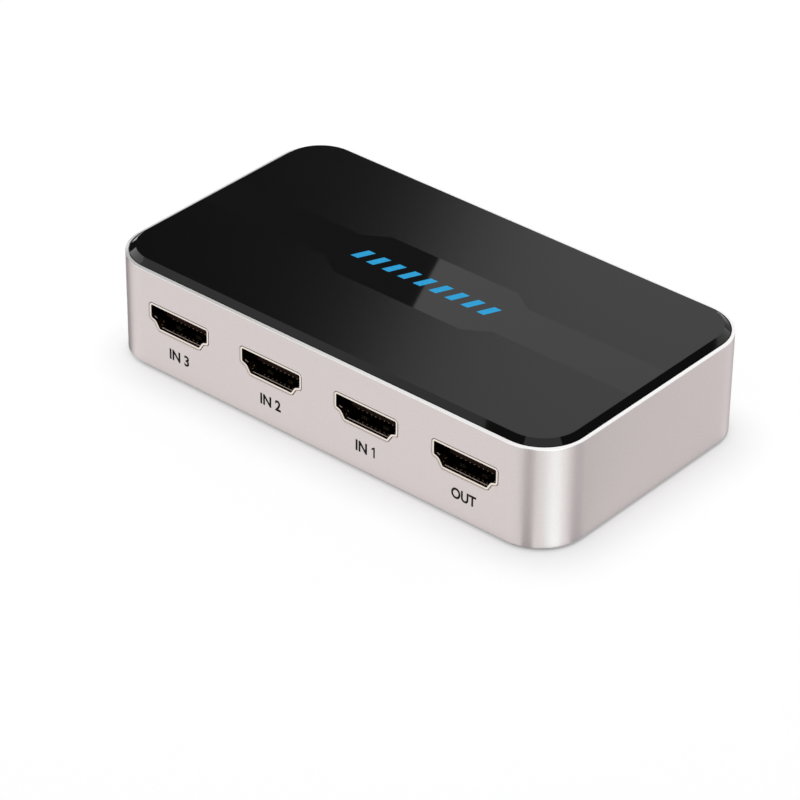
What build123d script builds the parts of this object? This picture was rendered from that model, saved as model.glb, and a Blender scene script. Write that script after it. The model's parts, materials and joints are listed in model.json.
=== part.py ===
"""A small HDMI switch box: three inputs and one output in one long wall, a select button and lamps in the other.

Millimetres. X runs along the box, the sockets face -Y, Z is up from the feet, and the origin is under the middle.
Each wall fitting is drawn in its own frame: x across, y inward from the wall's outer face, z up.
"""
import math
import os

from build123d import *

os.makedirs("parts", exist_ok=True)

# Housing band
LENGTH = 105.6
WIDTH = 58.9
BAND_HEIGHT = 20.6
CORNER_RADIUS = 9.5
WALL = 1.6
RIM_WIDTH = 0.60
RIM_RISE = 0.17
LEDGE_REACH = 3.4
LEDGE_THICKNESS = 1.4
LOWER_EDGE_BREAK = 0.3
EDGE_BREAK = 0.15
BOSS_RADIUS = 3.0
BOSS_MERGE = 0.3

# Top panel and the tape that holds it
PANEL_THICKNESS = 2.0
PANEL_PROUD = 1.0
PANEL_CHAMFER = 1.15
PANEL_GAP = 0.20
TAPE_THICKNESS = 0.15
TAPE_INSET = 0.3

# Bottom cover, feet and screws
COVER_THICKNESS = 1.8
COVER_RECESS = 0.2
COVER_GAP = 0.1
FOOT_RADIUS = 4.0
FOOT_STAND = 0.5
FOOT_SEAT = 0.5
FOOT_GAP = 0.1
FOOT_END_MARGIN = 19.0
FOOT_SIDE_MARGIN = 8.0
FOOT_EDGE = 0.2
COVER_SCREW_RADIUS = 1.25
COVER_SCREW_HEAD_RADIUS = 2.3
COVER_SCREW_HEAD = 1.1
COVER_SCREW_LENGTH = 8.0
BOARD_SCREW_RADIUS = 1.0
BOARD_SCREW_HEAD_RADIUS = 1.9
BOARD_SCREW_HEAD = 1.3
BOARD_SCREW_GRIP = 4.0
THREAD_GAP = 0.05
SCREW_HOLE_GAP = 0.15
DRIVE_RADIUS = 0.8
DRIVE_DEPTH = 0.6
POST_RADIUS = 2.6
POST_END_MARGIN = 6.3
POST_Y = 12.0

# Circuit board
BOARD_THICKNESS = 1.6
BOARD_GAP = 0.4
NOTCH_GAP = 0.5
LEAD_GAP = 0.12
LEAD_TAIL = 1.0

# HDMI sockets, to the standard mouth of 14.0 by 4.55
PORT_FLOOR = 9.3
PORT_END_MARGIN = 1.89
PORT_SET_BACK = 0.1
MOUTH_WIDTH = 14.0
MOUTH_HEIGHT = 4.55
MOUTH_FLOOR_WIDTH = 9.9
SHOULDER_Z = 1.85
KNEE_X = 5.85
KNEE_Z = 1.45
KNEE_RADIUS = 1.2
MOUTH_CORNER = 0.3
SHELL_WALL = 0.3
SHELL_LENGTH = 11.7
SHELL_FLOOR_LENGTH = 10.2
FLARE = 0.36
FLARE_LENGTH = 0.7
CUT_OUT_GAP = 0.10
BLOCK_FRONT = 7.0
BLOCK_BACK = 10.9
BLOCK_GAP = 0.03
TONGUE_WIDTH = 10.6
TONGUE_FRONT = 2.3
TONGUE_BOTTOM = 1.35
TONGUE_THICKNESS = 1.7
TONGUE_TIP = 0.35
CONTACT_PITCH = 1.0
CONTACT_WIDTH = 0.3
CONTACT_THICKNESS = 0.15
CONTACT_TIP = 2.7
CONTACT_FOOT = 0.5
CONTACT_SLOT_GAP = 0.02
UPPER_CONTACTS = 10
LOWER_CONTACTS = 9
LEG_WIDTH = 1.2
LEG_DEPTHS = (3.2, 8.6)
FINGER_X = 2.5
FINGER_WIDTH = 1.3
FINGER_TIP = 2.6
FINGER_CREST = 3.5
FINGER_ROOT = 6.4
FINGER_LIFT = 0.45
FINGER_THICKNESS = 0.22
FINGER_GAP = 0.2
FINGER_HOLD = 0.4

# Power inlet, a micro-USB socket
INLET_Y = 0.0
INLET_WIDTH = 6.9
INLET_HEIGHT = 1.85
INLET_FLOOR_WIDTH = 5.3
INLET_SIDE_Z = 0.85
INLET_CORNER = 0.25
INLET_SHELL_WALL = 0.25
INLET_LENGTH = 5.6
INLET_SET_BACK = 0.1
INLET_BLOCK_FRONT = 3.9
INLET_BLOCK_BACK = 5.0
INLET_FLOOR_LENGTH = 4.6
INLET_TONGUE_WIDTH = 3.7
INLET_TONGUE_FRONT = 0.9
INLET_TONGUE_BOTTOM = 0.95
INLET_TONGUE_THICKNESS = 0.55
INLET_CONTACTS = 5
INLET_PITCH = 0.65
INLET_CONTACT_TIP = 1.1
INLET_LEG_DEPTH = 2.6

# Row of fittings in the wall opposite the sockets, all on one axis above the board
FITTING_AXIS = 3.5
FITTING_END_MARGIN = 8.0
FITTING_GAP = 0.1
LAMP_PITCH = 9.0
LAMP_RADIUS = 1.5
LAMP_FLANGE_RADIUS = 1.9
LAMP_FLANGE = 1.0
LAMP_LENGTH = 5.3
LAMP_LEAD = 0.5
LAMP_LEAD_SPREAD = 1.27
HOLDER_WIDTH = 4.8
HOLDER_HEIGHT = 5.6
HOLDER_DEPTH = 1.8

WINDOW_RADIUS = 2.6
WINDOW_FLANGE_RADIUS = 3.3
WINDOW_FLANGE = 0.8
RECEIVER_GAP = 0.2
RECEIVER_WIDTH = 5.0
RECEIVER_DEPTH = 3.8
RECEIVER_BASE = 0.4
RECEIVER_HEIGHT = 6.0
RECEIVER_LENS_RADIUS = 1.8
RECEIVER_LENS_SINK = 0.4
RECEIVER_LEAD = 0.5
RECEIVER_LEAD_PITCH = 1.8

# Select button and its switch
BUTTON_WIDTH = 9.0
BUTTON_HEIGHT = 4.6
BUTTON_PROUD = 0.8
BUTTON_EDGE = 0.35
BUTTON_FLANGE_REACH = 0.9
BUTTON_FLANGE = 0.8
BUTTON_STEM_RADIUS = 1.9
BUTTON_STEM = 0.6
SWITCH_WIDTH = 6.0
SWITCH_HEIGHT = 6.4
SWITCH_DEPTH = 3.6
SWITCH_FRAME = 0.3
PLUNGER_RADIUS = 1.6
PLUNGER_REACH = 1.8
PLUNGER_FLANGE_RADIUS = 2.1
PLUNGER_FLANGE = 0.4
PLUNGER_GAP = 0.06
DOME_RADIUS = 2.1
DOME_RISE = 0.75
DOME_THICKNESS = 0.12
RECESS_GAP = 0.15
FRAME_LEG_WIDTH = 1.4
FRAME_LEG_SET_BACK = 0.8
TERMINAL_WIDTH = 0.7
TERMINAL_THICKNESS = 0.3
TERMINAL_SPREAD = 1.6
TERMINAL_SET_BACK = 1.8

# Parts soldered on the board: length, width, height
CHIP_SIZE = (10.0, 10.0, 1.4)
CHIP_PINS_PER_SIDE = 12
CHIP_PIN_PITCH = 0.75
CONTROLLER_SIZE = (4.9, 3.9, 1.5)
CONTROLLER_PINS_PER_SIDE = 4
CONTROLLER_PIN_PITCH = 1.27
REGULATOR_SIZE = (6.5, 3.5, 1.6)
REGULATOR_PIN_PITCH = 2.3
REGULATOR_TAB_WIDTH = 3.0
PIN_WIDTH = 0.3
PIN_THICKNESS = 0.18
PIN_REACH = 1.0
PIN_LIFT = 0.6
CHIP_LIFT = 0.1
INDUCTOR_SIZE = (6.0, 6.0, 2.9)
INDUCTOR_CORNER = 1.2
CAN_BASE = 5.3
CAN_BASE_HEIGHT = 0.9
CAN_RADIUS = 2.5
CAN_HEIGHT = 5.4
CRYSTAL_SIZE = (11.4, 4.7, 3.6)
SMALL_SIZE = (1.6, 0.8, 0.8)
RESISTOR_HEIGHT = 0.45
SMALL_PITCH = 2.4
ARRAY_SIZE = (2.5, 1.0, 0.5)
ARRAY_X = 3.0
ARRAY_SET_BACK = 1.5
COLUMN_MARGIN = 3.0
COLUMNS = 5

# Heights that follow from the sizes above
BAND_BOTTOM = FOOT_STAND
BAND_TOP = BAND_BOTTOM + BAND_HEIGHT
RIM_TOP = BAND_TOP + RIM_RISE
PANEL_BOTTOM = RIM_TOP + PANEL_PROUD - PANEL_THICKNESS
LEDGE_TOP = PANEL_BOTTOM - TAPE_THICKNESS
LEDGE_BOTTOM = LEDGE_TOP - LEDGE_THICKNESS
COVER_BOTTOM = BAND_BOTTOM + COVER_RECESS
COVER_TOP = COVER_BOTTOM + COVER_THICKNESS
MOUTH_FLOOR = BAND_BOTTOM + PORT_FLOOR
BOARD_TOP = MOUTH_FLOOR - SHELL_WALL
BOARD_BOTTOM = BOARD_TOP - BOARD_THICKNESS
FITTING_Z = BOARD_TOP + FITTING_AXIS

# Places in plan that follow from the sizes above
FLAT_HALF = LENGTH / 2 - CORNER_RADIUS
PORT_HALF = MOUTH_WIDTH / 2 + FLARE
PORT_SPAN = 2 * (FLAT_HALF - PORT_END_MARGIN - PORT_HALF)
PORT_NAMES = ("input_3", "input_2", "input_1", "output")
PORT_PITCH = PORT_SPAN / (len(PORT_NAMES) - 1)
PORT_X = [i * PORT_PITCH - PORT_SPAN / 2 for i in range(len(PORT_NAMES))]
CORNER_SIGNS = [(sx, sy) for sx in (-1, 1) for sy in (-1, 1)]
BOSS_SHIFT = (CORNER_RADIUS - WALL - BOSS_RADIUS + BOSS_MERGE) / math.sqrt(2)
BOSS_X = FLAT_HALF + BOSS_SHIFT
BOSS_Y = WIDTH / 2 - CORNER_RADIUS + BOSS_SHIFT
FOOT_X = LENGTH / 2 - FOOT_END_MARGIN
FOOT_Y = WIDTH / 2 - FOOT_SIDE_MARGIN
POST_X = LENGTH / 2 - POST_END_MARGIN
FITTING_END_X = FLAT_HALF - FITTING_END_MARGIN
LAMP_X = [(1.5 - i) * LAMP_PITCH for i in range(4)]
BOARD_INSET = WALL + BOARD_GAP
RECEIVER_FRONT = WALL + WINDOW_FLANGE + RECEIVER_GAP + RECEIVER_LENS_RADIUS - RECEIVER_LENS_SINK
SWITCH_FRONT = WALL + FITTING_GAP + BUTTON_FLANGE + BUTTON_STEM + PLUNGER_REACH
SWITCH_BACK = SWITCH_FRONT + SWITCH_FRAME + SWITCH_DEPTH
PORTS_BACK_Y = PORT_SET_BACK + SHELL_LENGTH + SHELL_WALL - WIDTH / 2
MIDDLE_BACK = WIDTH / 2 - SWITCH_BACK
MIDDLE_Y = (PORTS_BACK_Y + MIDDLE_BACK) / 2
ROW_Y = (MIDDLE_BACK - PORTS_BACK_Y) / 4
COLUMN_START = INLET_LENGTH + WALL + COLUMN_MARGIN - LENGTH / 2
COLUMN_STEP = (LENGTH / 2 - BOARD_INSET - COLUMN_MARGIN - COLUMN_START) / COLUMNS
COLUMN_X = [COLUMN_START + (i + 0.5) * COLUMN_STEP for i in range(COLUMNS)]
CUT = 1.0


def block(x, y, z):
    """A box between a low and a high value along each axis."""
    size = [high - low for low, high in (x, y, z)]
    middle = [(high + low) / 2 for low, high in (x, y, z)]
    return Pos(*middle) * Box(*size)


def post(x, y, bottom, top, radius):
    """An upright round rod."""
    return Pos(x, y, (bottom + top) / 2) * Cylinder(radius, top - bottom)


def rod(x, z, front, back, radius):
    """A round rod that runs inward from a wall."""
    return Pos(x, (front + back) / 2, z) * Rot(90, 0, 0) * Cylinder(radius, back - front)


def slab(inset, bottom, top):
    """The box's outline, drawn in by an inset, between two heights."""
    outline = RectangleRounded(LENGTH - 2 * inset, WIDTH - 2 * inset, CORNER_RADIUS - inset)
    return Pos(0, 0, bottom) * extrude(outline, amount=top - bottom)


def bevel(low_inset, high_inset, bottom, top):
    """The box's outline, with an inset that changes evenly between two heights."""
    ends = []
    for inset, z in ((low_inset, bottom), (high_inset, top)):
        outline = RectangleRounded(LENGTH - 2 * inset, WIDTH - 2 * inset, CORNER_RADIUS - inset)
        ends.append(Pos(0, 0, z) * outline)
    return loft(ends, ruled=True)


def inward(sketch, front, back):
    """Extrudes an outline drawn as x and z from one depth to another."""
    return extrude(Plane.XZ.offset(-front) * sketch, amount=front - back)


def across(points, x_low, x_high):
    """Extrudes a closed outline of depth and height points across x."""
    face = make_face(Polyline(*points, close=True))
    return Pos(x_low, 0, 0) * extrude(Plane.YZ * face, amount=x_high - x_low)


def group(pieces, place=Pos()):
    """Separate solids kept together in one node, each moved to the node's place."""
    return Compound(children=[place * piece for piece in pieces])


def wall_opening(outline):
    """The cutter for a hole through a wall with a broken outer edge; outline takes a growth."""
    through = inward(outline(0), -CUT, WALL + CUT)
    ends = [Plane.XZ * outline(EDGE_BREAK), Plane.XZ.offset(-EDGE_BREAK) * outline(0)]
    return through + loft(ends, ruled=True)


def rounded_mouth(half, knees, knee_radius, corner, growth):
    """A mirrored outline from its points on the +x side, top first, grown outward."""
    points = half + [(-x, z) for x, z in reversed(half)]
    face = make_face(Polyline(*points, close=True))
    inner = [v for v in face.vertices() if any(abs(abs(v.X) - x) < corner / 2 for x in knees)]
    if inner:
        face = fillet(inner, knee_radius)
    sharp = [v for v in face.vertices() if any(math.dist((abs(v.X), v.Y), p) < corner / 2 for p in half)]
    face = fillet(sharp, corner)
    return offset(face, growth) if growth else face


def port_mouth(growth=0.0):
    """The HDMI mouth, wide side up, above the middle of its own floor."""
    half = [
        (MOUTH_WIDTH / 2, MOUTH_HEIGHT),
        (MOUTH_WIDTH / 2, SHOULDER_Z),
        (KNEE_X, KNEE_Z),
        (MOUTH_FLOOR_WIDTH / 2, 0),
    ]
    return rounded_mouth(half, (KNEE_X,), KNEE_RADIUS, MOUTH_CORNER, growth)


def inlet_mouth(growth=0.0):
    """The micro-USB mouth, wide side up, above the middle of its own floor."""
    half = [
        (INLET_WIDTH / 2, INLET_HEIGHT),
        (INLET_WIDTH / 2, INLET_SIDE_Z),
        (INLET_FLOOR_WIDTH / 2, 0),
    ]
    return rounded_mouth(half, (), INLET_CORNER, INLET_CORNER, growth)


def disc(radius):
    """A round outline on the fittings' axis that can grow."""
    return lambda growth=0.0: Pos(0, FITTING_Z) * Circle(radius + growth)


def button_outline(growth=0.0):
    """The button's oblong outline on the fittings' axis."""
    grown = SlotOverall(BUTTON_WIDTH + 2 * growth, BUTTON_HEIGHT + 2 * growth)
    return Pos(0, FITTING_Z) * grown


PORT_PLACES = [Pos(x, -WIDTH / 2, MOUTH_FLOOR) for x in PORT_X]
INLET_FLOOR = BOARD_TOP + INLET_SHELL_WALL
INLET_PLACE = Pos(-LENGTH / 2, INLET_Y, INLET_FLOOR) * Rot(0, 0, -90)
BUTTON_PLACE = Pos(-FITTING_END_X, WIDTH / 2, 0) * Rot(0, 0, 180)
WINDOW_PLACE = Pos(FITTING_END_X, WIDTH / 2, 0) * Rot(0, 0, 180)
LAMP_PLACES = [Pos(x, WIDTH / 2, 0) * Rot(0, 0, 180) for x in LAMP_X]


def housing_band():
    """The closed aluminium wall with its bevelled rim, panel ledge, screw bosses and openings."""
    foot = bevel(LOWER_EDGE_BREAK, 0, BAND_BOTTOM, BAND_BOTTOM + LOWER_EDGE_BREAK)
    wall = slab(0, BAND_BOTTOM + LOWER_EDGE_BREAK, BAND_TOP)
    rim = bevel(0, RIM_WIDTH, BAND_TOP, RIM_TOP)
    body = foot + wall + rim
    body -= slab(WALL, BAND_BOTTOM - CUT, LEDGE_BOTTOM)
    body -= slab(LEDGE_REACH, LEDGE_BOTTOM - CUT, RIM_TOP + CUT)
    body -= slab(RIM_WIDTH, LEDGE_TOP, RIM_TOP + CUT)
    for sx, sy in CORNER_SIGNS:
        body += post(sx * BOSS_X, sy * BOSS_Y, COVER_TOP, LEDGE_TOP, BOSS_RADIUS)
    for sx, sy in CORNER_SIGNS:
        hole_top = COVER_BOTTOM + COVER_SCREW_LENGTH + THREAD_GAP
        hole = COVER_SCREW_RADIUS + THREAD_GAP
        body -= post(sx * BOSS_X, sy * BOSS_Y, COVER_TOP - CUT, hole_top, hole)
    for place in PORT_PLACES:
        body -= place * wall_opening(lambda growth: port_mouth(FLARE + CUT_OUT_GAP + growth))
    body -= INLET_PLACE * wall_opening(lambda growth: inlet_mouth(INLET_SHELL_WALL + CUT_OUT_GAP + growth))
    body -= BUTTON_PLACE * wall_opening(lambda growth: button_outline(FITTING_GAP + growth))
    body -= WINDOW_PLACE * wall_opening(disc(WINDOW_RADIUS + FITTING_GAP))
    for place in LAMP_PLACES:
        body -= place * wall_opening(disc(LAMP_RADIUS + FITTING_GAP))
    return body


def top_panel():
    """The black lid, sunk in the rim, with a broad chamfer on all that stands above it."""
    inset = RIM_WIDTH + PANEL_GAP
    lower = slab(inset, PANEL_BOTTOM, RIM_TOP)
    return lower + bevel(inset, inset + PANEL_CHAMFER, RIM_TOP, RIM_TOP + PANEL_PROUD)


def panel_tape():
    """The ring of adhesive tape between the ledge and the lid."""
    outer = slab(RIM_WIDTH + PANEL_GAP + TAPE_INSET, LEDGE_TOP, PANEL_BOTTOM)
    return outer - slab(LEDGE_REACH - TAPE_INSET, LEDGE_TOP - CUT, PANEL_BOTTOM + CUT)


def bottom_cover():
    """The moulded floor of the box, with posts under the board and seats for the feet."""
    cover = slab(WALL + COVER_GAP, COVER_BOTTOM, COVER_TOP)
    for sx, sy in CORNER_SIGNS:
        cover += post(sx * POST_X, sy * POST_Y, COVER_TOP, BOARD_BOTTOM, POST_RADIUS)
    for sx, sy in CORNER_SIGNS:
        pilot = BOARD_SCREW_RADIUS + THREAD_GAP
        pilot_bottom = BOARD_BOTTOM - BOARD_SCREW_GRIP - THREAD_GAP
        cover -= post(sx * POST_X, sy * POST_Y, pilot_bottom, BOARD_BOTTOM + CUT, pilot)
        foot_seat = COVER_BOTTOM + FOOT_SEAT
        cover -= post(sx * FOOT_X, sy * FOOT_Y, COVER_BOTTOM - CUT, foot_seat, FOOT_RADIUS + FOOT_GAP)
        cover -= post(sx * BOSS_X, sy * BOSS_Y, COVER_BOTTOM - CUT, COVER_TOP + CUT,
                      COVER_SCREW_RADIUS + SCREW_HOLE_GAP)
        sink = Cone(COVER_SCREW_HEAD_RADIUS + SCREW_HOLE_GAP, COVER_SCREW_RADIUS + SCREW_HOLE_GAP,
                    COVER_SCREW_HEAD)
        cover -= Pos(sx * BOSS_X, sy * BOSS_Y, COVER_BOTTOM + COVER_SCREW_HEAD / 2) * sink
    return cover


def rubber_feet():
    """Four round feet, sunk in the bottom cover."""
    top = COVER_BOTTOM + FOOT_SEAT
    foot = post(0, 0, 0, top, FOOT_RADIUS)
    foot = fillet(foot.edges().group_by(Axis.Z)[0], FOOT_EDGE)
    return group(Pos(sx * FOOT_X, sy * FOOT_Y, 0) * foot for sx, sy in CORNER_SIGNS)


def drive_recess(z, up):
    """The cross cut in a screw's head, from its outer face inward."""
    depth = (z - DRIVE_DEPTH, z) if up else (z, z + DRIVE_DEPTH)
    arm = (-DRIVE_RADIUS, DRIVE_RADIUS)
    narrow = (-DRIVE_RADIUS / 4, DRIVE_RADIUS / 4)
    return block(arm, narrow, depth) + block(narrow, arm, depth)


def cover_screws():
    """Four countersunk screws from below, through the cover into the bosses."""
    head = Cone(COVER_SCREW_HEAD_RADIUS, COVER_SCREW_RADIUS, COVER_SCREW_HEAD)
    screw = Pos(0, 0, COVER_BOTTOM + COVER_SCREW_HEAD / 2) * head
    screw += post(0, 0, COVER_BOTTOM + COVER_SCREW_HEAD, COVER_BOTTOM + COVER_SCREW_LENGTH,
                  COVER_SCREW_RADIUS)
    screw -= drive_recess(COVER_BOTTOM, up=False)
    return group(Pos(sx * BOSS_X, sy * BOSS_Y, 0) * screw for sx, sy in CORNER_SIGNS)


def board_screws():
    """Four pan-head screws that hold the board on the cover's posts."""
    top = BOARD_TOP + BOARD_SCREW_HEAD
    screw = post(0, 0, BOARD_TOP, top, BOARD_SCREW_HEAD_RADIUS)
    screw += post(0, 0, BOARD_BOTTOM - BOARD_SCREW_GRIP, BOARD_TOP, BOARD_SCREW_RADIUS)
    screw -= drive_recess(top, up=True)
    return group(Pos(sx * POST_X, sy * POST_Y, 0) * screw for sx, sy in CORNER_SIGNS)


def through_board(x, y, grow):
    """The cutter for a square or oblong lead hole, given the lead's ranges."""
    (x_low, x_high), (y_low, y_high) = x, y
    z = (BOARD_BOTTOM - CUT, BOARD_TOP + CUT)
    return block((x_low - grow, x_high + grow), (y_low - grow, y_high + grow), z)


def port_leg_ranges():
    """Plan ranges of one socket's four legs, in the socket's frame."""
    outer = MOUTH_WIDTH / 2 + SHELL_WALL
    for x in ((-outer, -MOUTH_WIDTH / 2), (MOUTH_WIDTH / 2, outer)):
        for depth in LEG_DEPTHS:
            yield x, (depth - LEG_WIDTH / 2, depth + LEG_WIDTH / 2)


def inlet_leg_ranges():
    """Plan ranges of the power inlet's two legs, in its frame."""
    outer = INLET_WIDTH / 2 + INLET_SHELL_WALL
    y = (INLET_LEG_DEPTH - LEG_WIDTH / 2, INLET_LEG_DEPTH + LEG_WIDTH / 2)
    return [((-outer, -INLET_WIDTH / 2), y), ((INLET_WIDTH / 2, outer), y)]


def lamp_lead_x():
    """The lamp's two leads across its frame."""
    half = LAMP_LEAD / 2
    return [(side * LAMP_LEAD_SPREAD - half, side * LAMP_LEAD_SPREAD + half) for side in (-1, 1)]


def receiver_lead_ranges():
    """Plan ranges of the receiver's three leads, in its frame."""
    half = RECEIVER_LEAD / 2
    middle = RECEIVER_FRONT + RECEIVER_DEPTH / 2
    for i in (-1, 0, 1):
        x = i * RECEIVER_LEAD_PITCH
        yield (x - half, x + half), (middle - half, middle + half)


def frame_leg_ranges():
    """Plan ranges of the switch frame's two legs, in the switch's frame."""
    inner = SWITCH_WIDTH / 2
    front = SWITCH_FRONT + FRAME_LEG_SET_BACK
    y = (front, front + FRAME_LEG_WIDTH)
    return [((-inner - SWITCH_FRAME, -inner), y), ((inner, inner + SWITCH_FRAME), y)]


def terminal_ranges():
    """Plan ranges of the switch's two terminals, in the switch's frame."""
    y = SWITCH_FRONT + SWITCH_FRAME + TERMINAL_SET_BACK
    for side in (-1, 1):
        x = side * TERMINAL_SPREAD
        yield (x - TERMINAL_WIDTH / 2, x + TERMINAL_WIDTH / 2), (y, y + TERMINAL_THICKNESS)


def circuit_board():
    """The board, notched round the bosses, with its screw and lead holes."""
    board = slab(BOARD_INSET, BOARD_BOTTOM, BOARD_TOP)
    notch = BOSS_RADIUS + NOTCH_GAP
    z = (BOARD_BOTTOM - CUT, BOARD_TOP + CUT)
    for sx, sy in CORNER_SIGNS:
        corner = post(BOSS_X, BOSS_Y, z[0], z[1], notch)
        corner += block((BOSS_X - notch, LENGTH), (BOSS_Y, WIDTH), z)
        corner += block((BOSS_X, LENGTH), (BOSS_Y - notch, WIDTH), z)
        if sx < 0:
            corner = mirror(corner, Plane.YZ)
        if sy < 0:
            corner = mirror(corner, Plane.XZ)
        board -= corner
        board -= post(sx * POST_X, sy * POST_Y, z[0], z[1], BOARD_SCREW_RADIUS + SCREW_HOLE_GAP)
    holes = []
    for port_x in PORT_X:
        for x, y in port_leg_ranges():
            holes.append(Pos(port_x, PORT_SET_BACK - WIDTH / 2, 0) * through_board(x, y, LEAD_GAP))
    inlet_plan = Pos(INLET_SET_BACK, 0, -INLET_FLOOR) * INLET_PLACE
    for x, y in inlet_leg_ranges():
        holes.append(inlet_plan * through_board(x, y, LEAD_GAP))
    for place in LAMP_PLACES:
        for x in lamp_lead_x():
            back = LAMP_LENGTH + HOLDER_DEPTH
            holes.append(place * through_board(x, (back, back + LAMP_LEAD), LEAD_GAP))
    for x, y in receiver_lead_ranges():
        holes.append(WINDOW_PLACE * through_board(x, y, LEAD_GAP))
    for x, y in [*frame_leg_ranges(), *terminal_ranges()]:
        holes.append(BUTTON_PLACE * through_board(x, y, LEAD_GAP))
    return board - holes


def legs(ranges, z_root, wall):
    """Shell legs that run down from the side walls through the board."""
    z = (-wall - BOARD_THICKNESS - LEAD_TAIL, z_root)
    return [block(x, y, z) for x, y in ranges]


def finger(upside_down):
    """One spring finger of a socket's shell, bent into the mouth: depth and height points."""
    top = MOUTH_HEIGHT
    points = [
        (FINGER_ROOT + FINGER_HOLD, top + SHELL_WALL),
        (FINGER_ROOT + FINGER_HOLD, top),
        (FINGER_ROOT, top),
        (FINGER_CREST, top - FINGER_LIFT),
        (FINGER_TIP, top - FINGER_LIFT / 2),
        (FINGER_TIP, top - FINGER_LIFT / 2 + FINGER_THICKNESS),
        (FINGER_CREST, top - FINGER_LIFT + FINGER_THICKNESS),
        (FINGER_ROOT, top + FINGER_THICKNESS),
    ]
    if upside_down:
        return [(y, top - z) for y, z in points]
    return points


def hdmi_shell():
    """One socket's folded metal shell: flared mouth, sleeve, back plate, legs and spring fingers."""
    outer = MOUTH_WIDTH / 2 + SHELL_WALL
    roof = MOUTH_HEIGHT + SHELL_WALL
    shell = inward(port_mouth(SHELL_WALL), 0, SHELL_LENGTH)
    shell += inward(port_mouth(FLARE), 0, FLARE_LENGTH)
    shell -= inward(port_mouth(), -CUT, SHELL_LENGTH + CUT)
    shell -= block((-outer, outer), (SHELL_FLOOR_LENGTH, SHELL_LENGTH + CUT), (-SHELL_WALL - CUT, SHOULDER_Z))
    back_z = (TONGUE_BOTTOM, roof)
    shell += block((-outer + MOUTH_CORNER, outer - MOUTH_CORNER),
                   (SHELL_LENGTH - SHELL_WALL, SHELL_LENGTH), back_z)
    shell += legs(port_leg_ranges(), SHOULDER_Z + SHELL_WALL, SHELL_WALL)
    half = FINGER_WIDTH / 2
    for side in (-1, 1):
        x = side * FINGER_X
        for z in ((MOUTH_HEIGHT - CUT / 4, roof + CUT), (-SHELL_WALL - CUT, CUT / 4)):
            window_x = (x - half - FINGER_GAP, x + half + FINGER_GAP)
            shell -= block(window_x, (FINGER_TIP - FINGER_GAP, FINGER_ROOT), z)
        for upside_down in (False, True):
            shell += across(finger(upside_down), x - half, x + half)
    return Pos(0, PORT_SET_BACK, 0) * shell


def contact_x():
    """Places across a socket of its upper and its lower contacts."""
    upper = [(i - (UPPER_CONTACTS - 1) / 2) * CONTACT_PITCH for i in range(UPPER_CONTACTS)]
    lower = [(i - (LOWER_CONTACTS - 1) / 2) * CONTACT_PITCH for i in range(LOWER_CONTACTS)]
    return upper, lower


def hdmi_insulator():
    """One socket's plastic block with the tongue that carries the contacts."""
    body = inward(port_mouth(-BLOCK_GAP), BLOCK_FRONT, BLOCK_BACK)
    half = TONGUE_WIDTH / 2
    top = TONGUE_BOTTOM + TONGUE_THICKNESS
    tongue = [
        (TONGUE_FRONT, TONGUE_BOTTOM + TONGUE_TIP),
        (TONGUE_FRONT, top - TONGUE_TIP),
        (TONGUE_FRONT + TONGUE_TIP, top),
        (BLOCK_FRONT + CUT, top),
        (BLOCK_FRONT + CUT, TONGUE_BOTTOM),
        (TONGUE_FRONT + TONGUE_TIP, TONGUE_BOTTOM),
    ]
    body += across(tongue, -half, half)
    upper, lower = contact_x()
    z_upper = (top, top + CONTACT_THICKNESS + CONTACT_SLOT_GAP)
    z_lower = (TONGUE_BOTTOM - CONTACT_THICKNESS - CONTACT_SLOT_GAP, TONGUE_BOTTOM)
    reach = CONTACT_WIDTH / 2 + CONTACT_SLOT_GAP
    slots = []
    for row, z in ((upper, z_upper), (lower, z_lower)):
        slots += [block((x - reach, x + reach), (BLOCK_FRONT - CUT, BLOCK_BACK + CUT), z) for x in row]
    return Pos(0, PORT_SET_BACK, 0) * (body - slots)


def bent_strip(x, width, tip, z, thickness, back, end, foot=0.0):
    """A strip that runs inward at a height, turns down behind a block and may end in a foot."""
    low, high = z, z + thickness
    points = [
        (tip, low),
        (tip, high),
        (back + thickness, high),
        (back + thickness, end + thickness if foot else end),
    ]
    if foot:
        points += [(back + thickness + foot, end + thickness), (back + thickness + foot, end)]
    points += [(back, end), (back, low)]
    return across(points, x - width / 2, x + width / 2)


def hdmi_contacts():
    """One socket's nineteen contacts, from the tongue to their feet on the board."""
    upper, lower = contact_x()
    strips = []
    for row, z in ((upper, TONGUE_BOTTOM + TONGUE_THICKNESS), (lower, TONGUE_BOTTOM - CONTACT_THICKNESS)):
        for x in row:
            strips.append(bent_strip(x, CONTACT_WIDTH, CONTACT_TIP, z, CONTACT_THICKNESS,
                                     BLOCK_BACK, -SHELL_WALL, CONTACT_FOOT))
    return [Pos(0, PORT_SET_BACK, 0) * strip for strip in strips]


def inlet_shell():
    """The power inlet's shell with its two legs."""
    outer = INLET_WIDTH / 2 + INLET_SHELL_WALL
    shell = inward(inlet_mouth(INLET_SHELL_WALL), 0, INLET_LENGTH)
    shell -= inward(inlet_mouth(), -CUT, INLET_LENGTH + CUT)
    floor_z = (-INLET_SHELL_WALL - CUT, INLET_SIDE_Z)
    shell -= block((-outer, outer), (INLET_FLOOR_LENGTH, INLET_LENGTH + CUT), floor_z)
    shell += legs(inlet_leg_ranges(), INLET_SIDE_Z + INLET_SHELL_WALL, INLET_SHELL_WALL)
    return Pos(0, INLET_SET_BACK, 0) * shell


def inlet_contact_x():
    """Places across the power inlet of its contacts."""
    return [(i - (INLET_CONTACTS - 1) / 2) * INLET_PITCH for i in range(INLET_CONTACTS)]


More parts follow.
